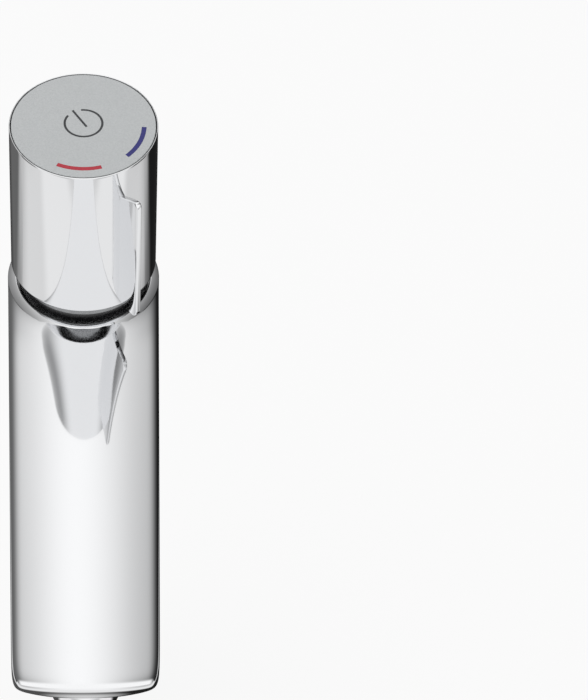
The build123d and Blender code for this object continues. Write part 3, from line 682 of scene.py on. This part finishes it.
def tone_steps(tree, source, start, end, steps):
    """A row of tones between two places, blended softly from one to the next."""
    place = tree.nodes.new("ShaderNodeMapRange")
    place.inputs["From Min"].default_value = start
    place.inputs["From Max"].default_value = end
    tree.links.new(source, place.inputs["Value"])
    ramp = tree.nodes.new("ShaderNodeValToRGB")
    ramp.color_ramp.interpolation = "EASE"
    for index, (where, tone) in enumerate(steps):
        at = (where - start) / (end - start)
        step = ramp.color_ramp.elements[index] if index < 2 else ramp.color_ramp.elements.new(at)
        step.position = at
        step.color = (tone, tone, tone, 1)
    tree.links.new(place.outputs["Result"], ramp.inputs["Fac"])
    return ramp.outputs["Color"]


# A leaning screen behind the tap, dark in the middle and lighter at its sides
screen_width, screen_length, screen_lean = 0.9, 0.25, math.radians(65)
clear_selection()
bpy.ops.mesh.primitive_plane_add(size=1, location=(0, 0.1228, 0.0508), rotation=(screen_lean, 0, 0))
screen = bpy.context.object
screen.name = "dark_screen"
screen.scale = (screen_width, screen_length, 1)
bpy.ops.object.transform_apply(location=True, rotation=True, scale=True)
finish, tree, glow, split = paper("screen_paper")
low = tone_steps(tree, split.outputs["X"], -0.45, 0.45, (
    (-0.45, 0.2), (0.45, 0.1), (-0.25, 0.62), (-0.2, 0.48), (-0.15, 0.33), (-0.1, 0.21), (-0.05, 0.12),
    (0.03, 0.03), (0.11, 0.015), (0.15, 0.15), (0.25, 0.5)))
upper = eased(tree, split.outputs["Z"], -0.03, 0.0, 0.0, 1.0)
tone = tree.nodes.new("ShaderNodeMix")
tree.links.new(upper, tone.inputs["Factor"])
tree.links.new(low, tone.inputs["A"])
high = tone_steps(tree, split.outputs["X"], -0.45, 0.45, (
    (-0.45, 0.15), (0.45, 0.012), (-0.1, 0.14), (-0.06, 0.065), (-0.03, 0.03), (0.0, 0.03), (0.12, 0.012)))
tree.links.new(high, tone.inputs["B"])
tree.links.new(tone.outputs["Result"], glow.inputs["Strength"])
screen.data.materials.append(finish)
only_in_gloss(screen)

# A card on the ground that only the chrome sees, with light and shade painted on it: painted shade under the spout
# and behind the tap with a painted light patch at each side, and white in front, where it fades out to the sides
card_z, card_r = -0.0628, 4
clear_selection()
bpy.ops.mesh.primitive_circle_add(vertices=96, radius=card_r, fill_type="NGON", location=(0, 0, card_z))
ground = bpy.context.object
ground.name = "ground_light_and_shade_card"
bpy.ops.object.transform_apply(location=True, rotation=True, scale=True)
finish, tree, glow, split = paper("ground_light_and_shade_paper")
# Painted shade under the spout and behind the tap, darker to the right, and painted light for the patch at each
# side
dark = eased(tree, split.outputs["X"], -0.03, 0.03, 0.08, 0.015)
lit = eased(tree, split.outputs["Y"], 0.0, 0.16, 0.8, 0.3)
sideways = tone_steps(tree, split.outputs["X"], -0.45, 0.45, (
    (-0.45, 0.0), (0.45, 0.0), (-0.33, 0.0), (-0.26, 1.0), (-0.175, 1.0), (-0.125, 0.0), (0.14, 0.0),
    (0.22, 0.9), (0.26, 0.9), (0.33, 0.0)))
behind = tree.nodes.new("ShaderNodeMix")
tree.links.new(sideways, behind.inputs["Factor"])
tree.links.new(dark, behind.inputs["A"])
tree.links.new(lit, behind.inputs["B"])
tone = tree.nodes.new("ShaderNodeMix")
tree.links.new(eased(tree, split.outputs["Y"], -0.135, -0.085, 0.0, 1.0), tone.inputs["Factor"])
spout_end = 0.14
ahead = math_node(tree, "ABSOLUTE", math_node(tree, "ADD", split.outputs["Y"], spout_end))
bearing = math_node(tree, "DIVIDE", math_node(tree, "ABSOLUTE", split.outputs["X"]), ahead)
front = tree.nodes.new("ShaderNodeMix")
tree.links.new(eased(tree, split.outputs["Y"], -0.27, -0.24, 0.0, 1.0), front.inputs["Factor"])
tree.links.new(eased(tree, bearing, 0.1, 0.75, 1.06, 0.66), front.inputs["A"])
near_white = 0.94
front.inputs["B"].default_value = near_white
tree.links.new(front.outputs["Result"], tone.inputs["A"])
tree.links.new(behind.outputs["Result"], tone.inputs["B"])
tree.links.new(tone.outputs["Result"], glow.inputs["Strength"])
ground.data.materials.append(finish)
only_in_gloss(ground)

# The camera: high in front of the tap, far off with a long lens, so the knob
# and the spout's end are nearly the same size.

eye = bpy.data.cameras.new("eye")
eye.lens = 218.88
eye.sensor_width = 36
eye.clip_end = 30
camera = bpy.data.objects.new("eye", eye)
bpy.context.scene.collection.objects.link(camera)
camera.location = (-0.003556, -0.848965, 1.044084)
eye_tilt, eye_roll, eye_pan = 42.04763, -2.10292, -2.13553
camera.rotation_euler = (math.radians(eye_tilt), math.radians(eye_roll), math.radians(eye_pan))
bpy.context.scene.camera = camera
bpy.context.scene.view_settings.view_transform = "Standard"
